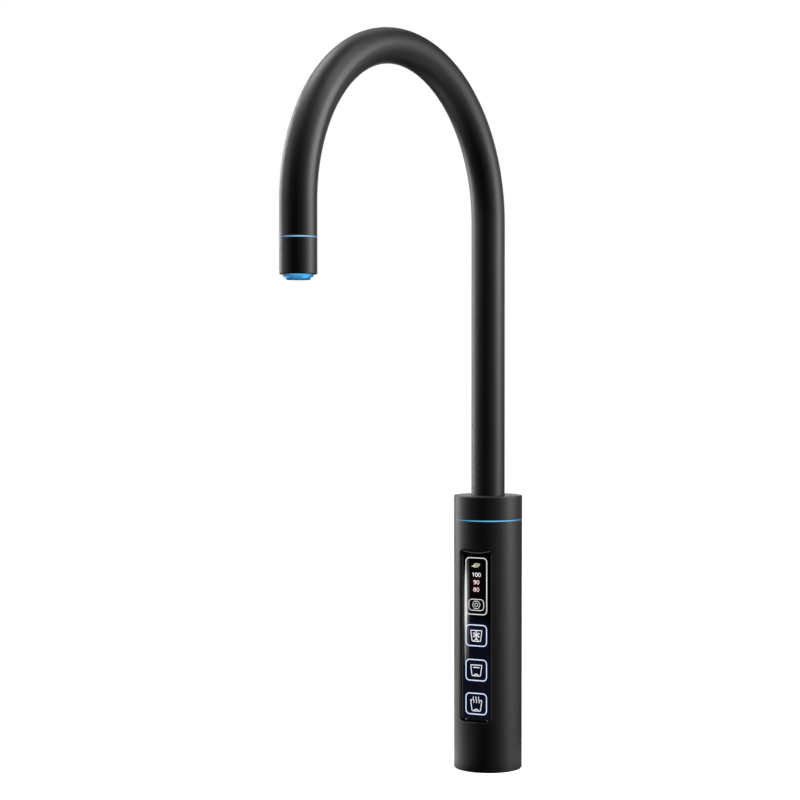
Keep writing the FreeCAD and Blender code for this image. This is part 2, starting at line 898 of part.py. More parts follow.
def make_hose_union():
    """Block in the spigot's foot that joins the tail hoses to the riser hoses."""
    block = fused(
        cylinder(barrel_bore - seat_gap, barrel_bottom, union_top),
        [cylinder(barrel_radius - seat_gap, union_bottom, barrel_bottom)],
    )
    ends = ("below", "above")
    return hose_block(block, union_bottom, union_top, riser_points(), lead_riser(), ends)


def riser_points():
    """Where the hoses run in the riser at rest."""
    return [polar(hose_circle_radius, a + panel_turn) for a in hose_angles]


def lead_riser():
    """Where the lead runs in the riser at rest."""
    return polar(lead_circle_radius, FRONT_ANGLE + panel_turn)


def at_drop(point):
    """The same run on the outlet's side, measured from the outlet's axis."""
    return point[0], -point[1]


def make_riser_hose(point):
    """Hose from the union through the bend to the collector."""
    path = spout_path(*point, union_top, collector_top)
    return swept(path, hose_radius, hose_bore_diameter / 2)


def make_nozzle_lead():
    """Lead from the union to the outlet's light board."""
    return swept(spout_path(*lead_riser(), union_bottom, nozzle_board_top), lead_radius)


def make_outlet_collector():
    """Block that brings the hoses together over the outlet."""
    points = [at_drop(p) for p in riser_points()]
    block = cylinder(tube_bore - seat_gap, coupler_top, collector_top)
    collector = hose_block(block, coupler_top, collector_top, points, at_drop(lead_riser()), ("above",))
    chamber_radius = hose_circle_radius + barb_bore + seat_gap
    chamber = cylinder(chamber_radius, coupler_top, coupler_top + chamber_depth)
    return collector.cut(chamber)


def make_nozzle_coupler():
    """Bush fixed in the tube's end, with a neck that the sleeve screws on to."""
    grip = tube_bore - thread_gap
    coupler = turned([
        (neck_bore, web_bottom),
        (neck_radius, web_bottom),
        (neck_radius, tube_drop_end),
        (grip, tube_drop_end),
        (grip, coupler_top),
        (neck_bore, coupler_top),
    ])
    return drilled(coupler, [at_drop(lead_riser())], lead_hole, tube_drop_end, coupler_top)


def make_nozzle_light_ring():
    """Clear ring between the tube's end and the sleeve."""
    return ring(tube_radius, nozzle_ring_bore, nozzle_top, tube_drop_end)


def make_nozzle_led_board():
    """Ring-shaped circuit board on the sleeve's web."""
    return ring(light_cavity - seat_gap, neck_radius + seat_gap, web_top, nozzle_board_top)


def make_nozzle_leds():
    """Light chips under the outlet's ring."""
    return lights([(nozzle_led_circle, a) for a in spaced(nozzle_led_count)], nozzle_board_top)


def make_nozzle_sleeve():
    """Sleeve that clamps the light ring and holds the outlet insert."""
    insert_seat = insert_thread + thread_gap
    web_bore = neck_radius + thread_gap
    sleeve = turned([
        (insert_seat, nozzle_bottom),
        (tube_radius, nozzle_bottom),
        (tube_radius, nozzle_top),
        (light_cavity, nozzle_top),
        (light_cavity, web_top),
        (web_bore, web_top),
        (web_bore, web_bottom),
        (insert_seat, web_bottom),
    ])
    return sleeve.makeFillet(nozzle_edge_radius, round_edges(sleeve, tube_radius, nozzle_bottom))


def make_outlet_insert():
    """Stepped clear outlet that screws into the sleeve."""
    step_one = insert_step_one_diameter / 2
    step_two = insert_step_two_diameter / 2
    bore = outlet_bore_diameter / 2
    return turned([
        (bore, insert_bottom),
        (step_two - insert_step_taper, insert_bottom),
        (step_two, insert_step_one_bottom),
        (step_one - insert_step_taper, insert_step_one_bottom),
        (step_one, nozzle_bottom),
        (insert_thread, nozzle_bottom),
        (insert_thread, insert_top),
        (straightener_seat, insert_top),
        (straightener_seat, nozzle_bottom),
        (bore, nozzle_bottom),
    ])


def make_outlet_seal():
    """Flat seal between the insert and the sleeve's web."""
    return ring(insert_thread - seat_gap, neck_bore, insert_top, web_bottom)


def make_flow_straightener():
    """Plug of parallel channels that keeps the stream clear."""
    plug = cylinder(straightener_diameter / 2, nozzle_bottom, nozzle_bottom + straightener_height)
    rows = range(-straightener_rings, straightener_rings + 1)
    points = []
    for row in rows:
        for column in rows:
            if abs(row + column) <= straightener_rings:
                across = straightener_pitch * (column + row / 2)
                points.append((across, straightener_pitch * row * math.sqrt(3) / 2))
    top = nozzle_bottom + straightener_height
    return drilled(plug, points, straightener_hole / 2, nozzle_bottom, top)


WATERS = ("hot", "still", "sparkling")

body_pieces = {
    "body_shell": make_body_shell(),
    "base_plug": make_base_plug(),
    "deck_seal": make_deck_seal(),
    "lead_grommet": make_lead_grommet(),
    "insulating_liner": make_insulating_liner(),
    "nozzle_lead_tail": make_nozzle_lead_tail(),
    "panel_bezel": make_panel_bezel(),
    "panel_glass": make_panel_glass(),
    "touch_foil": make_touch_foil(),
    "icon_light_box": make_icon_light_box(),
    "touch_board": make_touch_board(),
    "panel_leds": make_panel_leds(),
    "board_connector": make_board_connector(),
    "board_screws": make_board_screws(),
    "spout_socket": make_spout_socket(),
    "glide_bushes": make_glide_bushes(),
    "socket_screws": make_socket_screws(),
    "swivel_stop_screw": make_swivel_stop_screw(),
    "body_light_ring": make_body_light_ring(),
    "ring_led_board": make_ring_led_board(),
    "ring_leds": make_ring_leds(),
    "body_cap": make_body_cap(),
}
for water, point, degrees in zip(WATERS, inlet_points, hose_angles):
    body_pieces[water + "_inlet_fitting"] = make_inlet_fitting(*point)
    body_pieces[water + "_tail_hose"] = make_tail_hose(degrees)

spout_pieces = {
    "spout_tube": make_spout_tube(),
    "spout_spigot": make_spout_spigot(),
    "spigot_o_rings": make_spigot_o_rings(),
    "thrust_washer": make_thrust_washer(),
    "retaining_clip": make_retaining_clip(),
    "hose_union": make_hose_union(),
    "nozzle_lead": make_nozzle_lead(),
}
for water, point in zip(WATERS, riser_points()):
    spout_pieces[water + "_riser_hose"] = make_riser_hose(point)

outlet_pieces = {
    "outlet_collector": make_outlet_collector(),
    "nozzle_coupler": make_nozzle_coupler(),
    "nozzle_light_ring": make_nozzle_light_ring(),
    "nozzle_led_board": make_nozzle_led_board(),
    "nozzle_leds": make_nozzle_leds(),
    "nozzle_sleeve": make_nozzle_sleeve(),
    "outlet_insert": make_outlet_insert(),
    "outlet_seal": make_outlet_seal(),
    "flow_straightener": make_flow_straightener(),
}

for piece in body_pieces.values():
    piece.rotate(CENTRE, UP, panel_turn)
for piece in outlet_pieces.values():
    piece.translate(Vector(0, -spout_reach, 0))

os.makedirs("parts", exist_ok=True)
for pieces in (body_pieces, spout_pieces, outlet_pieces):
    for name, piece in pieces.items():
        piece.exportStep("parts/" + name + ".step")
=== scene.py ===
"""Dresses the drinks tap: finishes for every piece, lit signs on the glass, studio light and the camera.

Metres, in the frame of the solids: the body's axis is +Z from the worktop, and the spout points along -Y.
"""

import math

import bpy
import numpy as np
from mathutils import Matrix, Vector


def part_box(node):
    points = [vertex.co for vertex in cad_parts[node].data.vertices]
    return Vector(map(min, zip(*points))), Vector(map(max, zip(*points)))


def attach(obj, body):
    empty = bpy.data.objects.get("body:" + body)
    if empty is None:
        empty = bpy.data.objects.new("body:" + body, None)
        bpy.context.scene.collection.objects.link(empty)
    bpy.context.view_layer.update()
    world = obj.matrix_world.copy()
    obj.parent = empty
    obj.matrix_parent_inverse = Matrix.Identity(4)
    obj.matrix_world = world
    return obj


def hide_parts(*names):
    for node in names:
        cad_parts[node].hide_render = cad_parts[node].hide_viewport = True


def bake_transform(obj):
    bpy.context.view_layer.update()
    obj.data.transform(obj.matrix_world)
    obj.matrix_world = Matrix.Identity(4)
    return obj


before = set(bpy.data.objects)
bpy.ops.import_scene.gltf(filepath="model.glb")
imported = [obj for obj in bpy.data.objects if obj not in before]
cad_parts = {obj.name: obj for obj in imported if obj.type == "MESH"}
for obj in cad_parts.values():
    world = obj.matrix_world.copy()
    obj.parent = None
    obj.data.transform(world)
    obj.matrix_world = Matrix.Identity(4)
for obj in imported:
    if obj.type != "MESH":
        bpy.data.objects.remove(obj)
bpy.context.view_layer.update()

MM = 0.001

# Glass and bezel of the panel. Here and below, a pattern is whole at FULL and has gone at NONE.
PANEL_TURN = math.radians(8.0)
GLASS_FRONT = 18.898 * MM
BEZEL_FRONT = 19.098 * MM
VISOR_TOP = 145.5 * MM
VISOR_FRONT = 22.15 * MM
VISOR_SLOPE = 0.6
# Painted highlights on the bezel: a pale band under the visor, which also glows, and pale lines beside the
# glass
HIGHLIGHT_BAND_DROP = 0.55 * MM
HIGHLIGHT_BAND_FULL = 0.15 * MM
HIGHLIGHT_BAND_NONE = 0.6 * MM
HIGHLIGHT_SIDE_FULL = 11.1 * MM
HIGHLIGHT_SIDE_NONE = 10.5 * MM

# Signs on the glass: heights of their middles, and frames as width, height and corner
SIGN_RAISE = 0.045 * MM
SIGN_SHIFT = 0.15 * MM
DISPLAY_HEIGHT = 121.4 * MM
DISPLAY_FRAME = (14.9 * MM, 36.9 * MM, 2.6 * MM)
DISPLAY_LINE = 0.66 * MM
LEAF_HEIGHT = 135.0 * MM
HUNDRED_HEIGHT = 128.9 * MM
NINETY_HEIGHT = 124.0 * MM
EIGHTY_HEIGHT = 119.2 * MM
SETTINGS_HEIGHT = 109.2 * MM
SETTINGS_FRAME = (10.6 * MM, 7.2 * MM, 2.3 * MM)
SETTINGS_LINE = 0.54 * MM
KEY_HEIGHTS = [89.15 * MM, 66.5 * MM, 44.45 * MM]
KEY_FRAME = (14.7 * MM, 13.6 * MM, 2.6 * MM)
KEY_LINE = 0.68 * MM

# Light that leaks out of the glass round the lit fields, and painted highlights in its corners: half width,
# half height and reach of each glow
KEY_GLOW = (5.0 * MM, 4.5 * MM, 9.0 * MM)
WARM_GLOW = (1.2 * MM, 2.4 * MM, 4.0 * MM)
FRESH_GLOW = (1.6 * MM, 0.4 * MM, 4.0 * MM)
PAINTED_SPARK_GLOW = (0.3 * MM, 0.1 * MM, 0.7 * MM)
PAINTED_SPARK_PLACES = ((-7.1 * MM, 34.0 * MM), (7.9 * MM, 33.7 * MM))
HAZE_FULL = 45.0 * MM
HAZE_NONE = 115.0 * MM
# Painted reflection: a pale line along the glass's left rim
PAINTED_RIM_REFLECTION = -9.8 * MM
PAINTED_RIM_REFLECTION_FULL = 0.2 * MM
PAINTED_RIM_REFLECTION_NONE = 0.55 * MM
NO_LIGHT = (0.0, 0.0, 0.0)

# Lit rings and outlet: bearings of their bright sides, away from which the glow is painted dark, and heights
# over the insert's foot
RING_BAND = 1.2 * MM
BODY_RING_FRONT = math.radians(311.0)
BODY_RING_LIGHTS = 12
NOZZLE_FRONT = math.radians(318.0)
NOZZLE_RING_LIGHTS = 6
INSERT_SPOTS = 4
INSERT_SPOT_TURN = math.radians(166.0)
# Painted highlight on the upper step, glow over the lower step, and painted shade fading in towards the
# insert's foot
INSERT_UPPER_STEP = 2.6 * MM
INSERT_UPPER_REACH = 0.7 * MM
INSERT_LOWER_STEP = 1.45 * MM
INSERT_LOWER_REACH = 0.75 * MM
INSERT_FOOT_SHADE = 0.3 * MM

# Depths of the bump patterns
GRAIN_DEPTH = 0.1 * MM
TRACK_DEPTH = 0.05 * MM

# Hoses and lead below the swivel: distances from the axis at the foot and at the top, outer and inner radii,
# and heights between which they ease inwards
FIRST_HOSE = PANEL_TURN + math.radians(90.0)
HOSE_CIRCLES = (12.272 * MM, 3.637 * MM)
HOSE_RADII = (3.0 * MM, 2.0 * MM)
HOSE_EASE = (24.0 * MM, 78.0 * MM)
LEAD_CIRCLES = (10.298 * MM, 6.437 * MM)
LEAD_RADII = (0.7 * MM, 0.0)
LEAD_EASE = (110.0 * MM, 142.0 * MM)

# Camera and lamps: lens and sensor in millimetres, and the bearing from which the lamps' bearings count
CAMERA_LENS = 86.98
CAMERA_SENSOR = 36.0
CAMERA_PLACE = (0.68156, -1.08104, 0.26133)
CAMERA_TILT = math.radians(89.1635)
CAMERA_TURN = math.radians(34.84)
CAMERA_BEARING = math.radians(302.2)
FLOOR_LIFT = 0.4 * MM
OVERHEAD = 1000.0


# Shader arithmetic


class Value:
    """A socket that takes part in Python arithmetic: each operator adds one Math node."""

    def __init__(self, finish, socket):
        self.finish = finish
        self.socket = socket

    def _math(self, operation, first, second=0.0):
        return self.finish.node("ShaderNodeMath", {"operation": operation}, {0: first, 1: second})

    def __add__(self, other):
        return self._math("ADD", self, other)

    def __sub__(self, other):
        return self._math("SUBTRACT", self, other)

    def __rsub__(self, other):
        return self._math("SUBTRACT", other, self)

    def __mul__(self, other):
        return self._math("MULTIPLY", self, other)

    def __truediv__(self, other):
        return self._math("DIVIDE", self, other)

    def __rtruediv__(self, other):
        return self._math("DIVIDE", other, self)

    __radd__ = __add__
    __rmul__ = __mul__

    def sine(self):
        return self._math("SINE", self)

    def size(self):
        return self._math("ABSOLUTE", self)

    def root(self):
        return self._math("SQRT", self)

    def most(self, other):
        return self._math("MAXIMUM", self, other)

    def angle_from(self, other):
        return self._math("ARCTAN2", self, other)

    def fade(self, full, none):
        """One at full and beyond, nought at none and beyond, and a smooth step in between."""
        settings = {"interpolation_type": "SMOOTHSTEP", "clamp": True}
        sockets = {"Value": self, "From Min": none, "From Max": full, "To Min": 0.0, "To Max": 1.0}
        return self.finish.node("ShaderNodeMapRange", settings, sockets)

    def output(self, name):
        """Another output of the same node."""
        return Value(self.finish, self.socket.node.outputs[name])


class Finish:
    """A node material. Every node comes from node(), and the surface shader from surface()."""

    def __init__(self, name):
        self.material = bpy.data.materials.new(name)
        self.material.use_nodes = True
        self.tree = self.material.node_tree
        self.tree.nodes.clear()

    def node(self, kind, settings, sockets):
        """Adds a node, applies its settings, fills its sockets with numbers or links, gives its output."""
        made = self.tree.nodes.new(kind)
        for name, setting in settings.items():
            setattr(made, name, setting)
        for key, given in sockets.items():
            socket = made.inputs[key] if isinstance(key, int) else self._in_use(made.inputs, key)
            if isinstance(given, Value):
                self.tree.links.new(given.socket, socket)
            else:
                socket.default_value = given
        return Value(self, self._in_use(made.outputs)) if made.outputs else None

    @staticmethod
    def _in_use(sockets, name=None):
        """The first socket, or the first of that name, that the node's settings leave in use."""
        return next(s for s in sockets if not s.is_unavailable and name in (None, s.name))

    def place(self):
        """The surface point, in the frame of the solids."""
        return self.node("ShaderNodeTexCoord", {}, {}).output("Object")

    def axes(self, turn=0.0, shift=(0.0, 0.0, 0.0)):
        """Three values x, y and z of the surface point, after a turn about Z and a shift."""
        sockets = {"Vector": self.place(), "Location": shift, "Rotation": (0.0, 0.0, turn)}
        moved = self.node("ShaderNodeMapping", {}, sockets)
        x = self.node("ShaderNodeSeparateXYZ", {}, {"Vector": moved})
        return x, x.output("Y"), x.output("Z")

    def noise(self, per_metre, detail=2.0, stretch=(1.0, 1.0, 1.0)):
        """Cloudy noise about one half, with so many waves per metre."""
        moved = self.node("ShaderNodeMapping", {}, {"Vector": self.place(), "Scale": stretch})
        return self.node("ShaderNodeTexNoise", {}, {"Vector": moved, "Scale": per_metre, "Detail": detail})

    def cells(self, per_metre):
        """Distance to the nearest point of a scatter, nought to about one."""
        return self.node("ShaderNodeTexVoronoi", {}, {"Vector": self.place(), "Scale": per_metre})

    def tint(self, amount, low, high):
        """Colour from low to high by an amount from nought to one. Either may be a colour that varies."""
        ends = [c if isinstance(c, Value) else (*c, 1.0) for c in (low, high)]
        sockets = {"Factor": amount, "A": ends[0], "B": ends[1]}
        return self.node("ShaderNodeMix", {"data_type": "RGBA"}, sockets)

    def bump(self, height, strength, distance):
        """Surface normal tilted by a height pattern."""
        sockets = {"Strength": strength, "Distance": distance, "Height": height}
        return self.node("ShaderNodeBump", {}, sockets)

    def surface(self, **sockets):
        """The shader that ends the finish, with names such as Base_Color for its sockets."""
        named = {name.replace("_", " "): given for name, given in sockets.items()}
        shader = self.node("ShaderNodeBsdfPrincipled", {}, named)
        self.node("ShaderNodeOutputMaterial", {}, {"Surface": shader})
        return self.material


# Finishes


def powder_coat():
    """Matte black coat: fine orange peel over a slow cloud, so that highlights are soft."""
    f = Finish("matte_black_coat")
    cloud = f.noise(60.0, detail=3.0)
    grain = f.noise(1400.0)
    peel = f.cells(2600.0) * 0.5 + grain
    return f.surface(
        Base_Color=f.tint(cloud, (0.002, 0.002, 0.0021), (0.005, 0.005, 0.0052)),
        Roughness=0.44 + 0.08 * grain + 0.04 * cloud,
        Normal=f.bump(peel, strength=0.1, distance=GRAIN_DEPTH),
    )


def field_glow(across, height, centre, half_width, half_height, reach):
    """One inside an upright field, and fading to nothing over a reach outside it."""
    beside = (across.size() - half_width).most(0.0)
    above = ((height - centre).size() - half_height).most(0.0)
    return (beside * beside + above * above).root().fade(0.0, reach)


def panel_gloss():
    """Black gloss glass: a faint wipe pattern, and light that leaks out.

    The glass glows a faint grey that grows towards the foot, and the light that leaks out is a colour round
    each lit field.
    A line along the left rim is a painted reflection, and a spark in each lower corner is a painted
    highlight.
    """
    f = Finish("black_panel_glass")
    across, _, height = f.axes(-PANEL_TURN)
    keys = [field_glow(across, height, h, *KEY_GLOW) for h in KEY_HEIGHTS]
    blue = keys[0].most(keys[1]).most(keys[2])
    warm = field_glow(across, height, (NINETY_HEIGHT + EIGHTY_HEIGHT) / 2, *WARM_GLOW)
    fresh = field_glow(across, height, LEAF_HEIGHT, *FRESH_GLOW)
    # Painted reflection: a pale glowing line along the left rim of the glass
    rim = (across - PAINTED_RIM_REFLECTION).size().fade(PAINTED_RIM_REFLECTION_FULL, PAINTED_RIM_REFLECTION_NONE)
    leak_and_painted_light = f.tint(height.fade(HAZE_FULL, HAZE_NONE), NO_LIGHT, (0.005, 0.005, 0.006))
    for glow, colour in (
        (blue, (0.003, 0.0045, 0.017)),
        (warm, (0.012, 0.0006, 0.0008)),
        (fresh, (0.003, 0.0045, 0.001)),
        (rim, (0.036, 0.036, 0.037)),
    ):
        leak_and_painted_light = f.tint(glow, leak_and_painted_light, colour)
    # Painted highlights: a bright spark glowing in each lower corner of the glass
    for side, level in PAINTED_SPARK_PLACES:
        spark = field_glow(across - side, height, level, *PAINTED_SPARK_GLOW)
        leak_and_painted_light = f.tint(spark, leak_and_painted_light, (0.13, 0.13, 0.13))
    wipe = f.noise(90.0, detail=4.0, stretch=(1.0, 1.0, 0.25))
    return f.surface(
        Base_Color=f.tint(wipe, (0.0015, 0.0015, 0.002), (0.003, 0.003, 0.0036)),
        Roughness=0.02 + 0.008 * wipe,
        Emission_Color=leak_and_painted_light,
        Emission_Strength=1.0,
    )


def mould_grain(f):
    """Fine spark-eroded grain of a mould, and the surface normal that it gives."""
    grain = f.noise(1500.0)
    return grain, f.bump(grain, strength=0.08, distance=GRAIN_DEPTH)


def moulding(name, low, high, rough):
    """Moulded plastic: two close shades and the mould's grain."""
    f = Finish(name)
    grain, normal = mould_grain(f)
    return f.surface(
        Base_Color=f.tint(f.noise(120.0, detail=3.0), low, high),
        Roughness=rough + 0.12 * grain,
        Normal=normal,
    )


def bezel_satin():
    """Satin black moulding with painted highlights: paler beside the glass, and in a band under the visor
    that also glows.

    The band follows the curve where the visor's cone meets the flat front. The curve's height falls from the
    visor's top by the slope times how much nearer the axis the point is than the visor's front edge.
    """
    f = Finish("satin_bezel_moulding")
    across, _, height = f.axes(-PANEL_TURN)
    from_axis = (across * across + BEZEL_FRONT ** 2).root()
    curve = VISOR_TOP - VISOR_SLOPE * (VISOR_FRONT - from_axis)
    # Painted highlight: a pale, glowing band under the visor
    band = (height - (curve - HIGHLIGHT_BAND_DROP)).size().fade(HIGHLIGHT_BAND_FULL, HIGHLIGHT_BAND_NONE)
    # Painted highlight: pale lines beside the glass
    side = across.size().fade(HIGHLIGHT_SIDE_FULL, HIGHLIGHT_SIDE_NONE)
    grain, normal = mould_grain(f)
    return f.surface(
        Base_Color=f.tint(band.most(side), (0.004, 0.004, 0.0042), (0.17, 0.17, 0.175)),
        Roughness=0.3 + 0.12 * grain,
        Specular_IOR_Level=0.06,
        Normal=normal,
        Emission_Color=f.tint(band, NO_LIGHT, (0.03, 0.03, 0.0305)),
        Emission_Strength=1.0,
    )


def painted_side_shade(x, y, front):
    """Painted shade for a lit part: the square of the cosine of the bearing from the front, one there and at
    the back and nought at the sides, where the glow is painted dark.
    """
    toward = x * math.cos(front) + y * math.sin(front)
    return toward * toward / (x * x + y * y)


def light_guide(ring, lights, front, pale):
    """Frosted ring lit by a circle of chips: pale along the middle of its band, deep blue at its edges."""
    f = Finish(ring + "_glow")
    low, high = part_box(ring)
    middle = (-(low[0] + high[0]) / 2, -(low[1] + high[1]) / 2, RING_BAND / 2 - high[2])
    x, y, height = f.axes(0.0, middle)
    over_chip = 0.5 + 0.5 * (y.angle_from(x) * float(lights)).sine()
    core = (height.size() / (RING_BAND / 2)).fade(0.1, 0.95)
    # Painted shade: the glow falls to deep blue at the ring's sides, away from its front and back
    lit = core * painted_side_shade(x, y, front) * (0.95 + 0.1 * over_chip)
    return f.surface(
        Base_Color=f.tint(lit, (0.0, 0.02, 0.06), (0.05, 0.16, 0.26)),
        Roughness=0.35 + 0.2 * f.noise(900.0, detail=1.0),
        Specular_IOR_Level=0.25,
        Emission_Color=f.tint(lit, (0.0, 0.02, 0.09), pale),
        Emission_Strength=1.3,
    )


def outlet_glow():
    """Clear blue outlet lit from above.

    Its upper step has a painted highlight, a pale band under the sleeve. The lower step has a pale spot
    under each rib.
    Both steps are painted deep blue as shade at their sides, between the steps and underneath.
    """
    f = Finish("lit_blue_outlet")
    low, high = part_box("outlet_insert")
    x, y, height = f.axes(0.0, (-(low[0] + high[0]) / 2, -(low[1] + high[1]) / 2, -low[2]))
    spot = (y.angle_from(x) * float(INSERT_SPOTS) + INSERT_SPOT_TURN).sine().fade(1.0, 0.1)
    # Painted highlight: the pale band on the upper step
    upper = ((height - INSERT_UPPER_STEP).size() / INSERT_UPPER_REACH).fade(0.3, 1.0)
    lower = ((height - INSERT_LOWER_STEP).size() / INSERT_LOWER_REACH).fade(0.3, 1.0)
    # Painted shade: the outlet's glow dims towards its sides
    glow = painted_side_shade(x, y, NOZZLE_FRONT) * (0.3 + 0.45 * upper + 0.1 * f.noise(260.0))
    # Painted shade: deep blue between the steps, where neither band reaches, and dark towards the foot
    lit = (glow + lower * (0.12 + 0.5 * spot)) * height.fade(INSERT_FOOT_SHADE, 0.0)
    return f.surface(
        Base_Color=f.tint(lit, (0.0, 0.02, 0.1), (0.05, 0.3, 0.7)),
        Roughness=0.4 + 0.1 * f.noise(500.0),
        Specular_IOR_Level=0.05,
        Emission_Color=f.tint(lit, (0.0, 0.025, 0.11), (0.1, 0.54, 1.0)),
        Emission_Strength=1.0,
    )


def turned_metal(name, low, high, rough, per_metre):
    """Turned metal: fine rings of the cutting tool round the upright axis, in two close shades."""
    f = Finish(name)
    x, y, height = f.axes()
    rings = 0.5 + 0.5 * ((height + (x * x + y * y).root()) * per_metre).sine()
    cloud = f.noise(150.0, detail=3.0)
    return f.surface(
        Base_Color=f.tint(0.6 * cloud + 0.4 * rings, low, high),
        Metallic=1.0,
        Roughness=rough + 0.1 * cloud,
        Normal=f.bump(rings, strength=0.06, distance=GRAIN_DEPTH),
    )


def soft_rubber(name, low, high):
    """Matte rubber with a dusty bloom and a fine skin."""
    f = Finish(name)
    bloom = f.noise(220.0, detail=4.0)
    return f.surface(
        Base_Color=f.tint(bloom, low, high),
        Roughness=0.7 + 0.2 * bloom,
        Normal=f.bump(f.noise(2400.0), strength=0.15, distance=GRAIN_DEPTH),
    )


def hose_wall():
    """Milky food-grade hose with faint drawing lines along it and cloudy patches."""
    f = Finish("milky_hose")
    lines = f.noise(1800.0, stretch=(1.0, 1.0, 0.02))
    patches = f.noise(140.0, detail=3.0)
    return f.surface(
        Base_Color=f.tint(0.5 * patches + 0.5 * lines, (0.6, 0.6, 0.56), (0.82, 0.82, 0.78)),
        Roughness=0.35 + 0.15 * lines,
        Normal=f.bump(lines, strength=0.1, distance=GRAIN_DEPTH),
    )


def circuit_laminate():
    """Green solder mask: thin bands of a folded cell pattern show the lighter copper tracks under it."""
    f = Finish("green_circuit_laminate")
    middle, half_width = 0.42, 0.06
    track = (f.cells(420.0) - middle).size().fade(0.0, half_width)
    weave = f.noise(1500.0, detail=1.0)
    return f.surface(
        Base_Color=f.tint(track, (0.012, 0.1, 0.04), (0.05, 0.2, 0.07)),
        Roughness=0.35 + 0.2 * weave,
        Normal=f.bump(track + 0.2 * weave, strength=0.2, distance=TRACK_DEPTH),
    )


def light_chip():
    """Small lamp: pale yellow phosphor with a cloudy edge, faintly lit."""
    f = Finish("phosphor_chip")
    cloud = f.noise(900.0)
    return f.surface(
        Base_Color=f.tint(cloud, (0.7, 0.64, 0.35), (0.9, 0.88, 0.7)),
        Roughness=0.3 + 0.2 * cloud,
        Emission_Color=f.tint(cloud, (0.3, 0.5, 0.7), (0.5, 0.75, 1.0)),
        Emission_Strength=0.6,
    )


def sensor_film():
    """Amber foil with a fine printed copper grid."""
    f = Finish("printed_sensor_film")
    across, _, height = f.axes(-PANEL_TURN)
    per_metre = 2400.0
    grid = (across * per_metre).sine().most((height * per_metre).sine()).fade(1.0, 0.8)
    return f.surface(
        Base_Color=f.tint(grid, (0.26, 0.16, 0.05), (0.6, 0.36, 0.2)),
        Roughness=0.25 + 0.2 * f.noise(500.0),
        Metallic=0.5 * grid,
    )


def lit_print(name, dim, bright, centre, reach):
    """Backlit print: brightest over its lamp and a little dimmer towards the ends of the sign."""
    f = Finish(name)
    across, _, height = f.axes(-PANEL_TURN)
    off = height - centre
    lit = 0.75 * (across * across + off * off).root().fade(0.0, reach) + 0.4 * f.noise(700.0)
    return f.surface(
        Base_Color=f.tint(lit, (0.1, 0.1, 0.1), (0.2, 0.2, 0.2)),
        Roughness=0.3,
        Emission_Color=f.tint(lit, dim, bright),
        Emission_Strength=1.2,
    )


def dress(finish, *nodes):
    """Gives nodes of the frame a finish."""
    for node in nodes:
        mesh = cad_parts[node].data
        mesh.materials.clear()
        mesh.materials.append(finish)


# Surfaces


def skin(rings, closed_path):
    """Vertices and faces of a tube of rings.

    rings[i, j] is point j of ring i. Point j of ring i joins point j + 1 and ring i + 1, both wrapping round
    where the path is closed; otherwise the first and last rings are filled in.
    """
    count, around = rings.shape[:2]
    index = np.arange(count * around).reshape(count, around)
    here = index if closed_path else index[:-1]
    ahead = np.roll(index, -1, 0) if closed_path else index[1:]
    quads = np.stack([here, np.roll(here, -1, 1), np.roll(ahead, -1, 1), ahead], -1).reshape(-1, 4)
    faces = quads.tolist()
    if not closed_path:
        faces += [index[0, ::-1].tolist(), index[-1].tolist()]
    return rings.reshape(-1, 3), faces


def stroke(path, width, closed_path=False):
    """A raised printed line on the glass.

    A low crowned section, five points wide, is carried along a path of (across, height) points: each section
    stands square to the path, whose direction is the difference of the points before and after.
    """
    shoulder, shoulder_raise = 0.42, 0.8
    path = np.asarray(path, float)
    if closed_path:
        along = np.roll(path, -1, 0) - np.roll(path, 1, 0)
    else:
        along = np.gradient(path, axis=0)
    along = along / np.linalg.norm(along, axis=1, keepdims=True)
    side = np.stack([along[:, 1], -along[:, 0]], -1)
    offset = np.array([-0.5, -shoulder, 0.0, shoulder, 0.5]) * width
    crown = np.array([0.0, shoulder_raise, 1.0, shoulder_raise, 0.0]) * SIGN_RAISE
    path = path + np.array([SIGN_SHIFT, 0.0])
    flat = path[:, None, :] + side[:, None, :] * offset[None, :, None]
    depth = np.broadcast_to(-GLASS_FRONT - crown, flat.shape[:2])
    return skin(np.stack([flat[..., 0], depth, flat[..., 1]], -1), closed_path)


def rounded_frame(width, height, corner, centre, turns=10):
    """Closed path round a rectangle with rounded corners: a quarter circle about each corner's centre."""
    quarter = np.linspace(0.0, 0.5 * np.pi, turns)
    starts = np.arange(4) * 0.5 * np.pi
    angle = (starts[:, None] + quarter[None, :]).ravel()
    sign_x = np.repeat([1.0, -1.0, -1.0, 1.0], turns)
    sign_z = np.repeat([1.0, 1.0, -1.0, -1.0], turns)
    x = sign_x * (width / 2 - corner) + corner * np.cos(angle)
    z = sign_z * (height / 2 - corner) + corner * np.sin(angle) + centre
    return np.stack([x, z], -1)


def oval(half_width, half_height, x, z, points=28):
    """Closed path round an ellipse: half sizes times the cosine and sine of an even angle."""
    angle = np.linspace(0.0, 2 * np.pi, points, endpoint=False)
    return np.stack([x + half_width * np.cos(angle), z + half_height * np.sin(angle)], -1)


def bar(start, end, points=4):
    """Straight path between two points."""
    share = np.linspace(0.0, 1.0, points)[:, None]
    return np.asarray(start) * (1 - share) + np.asarray(end) * share


def rounded_line(points, cut, turns=6):
    """Open path through points, with each inner corner cut by a curve.

    The curve at a corner is the quadratic one whose ends lie a cut before and after the corner, and whose
    middle control point is the corner.
    """
    points = np.asarray(points, float)
    before = points[:-2] - points[1:-1]
    after = points[2:] - points[1:-1]
    enter = points[1:-1] + before / np.linalg.norm(before, axis=1, keepdims=True) * cut
    leave = points[1:-1] + after / np.linalg.norm(after, axis=1, keepdims=True) * cut
    t = np.linspace(0.0, 1.0, turns)[None, :, None]
    curves = enter[:, None] * (1 - t) ** 2 + points[1:-1, None] * 2 * t * (1 - t) + leave[:, None] * t ** 2
    return np.concatenate([points[:1], curves.reshape(-1, 2), points[-1:]])


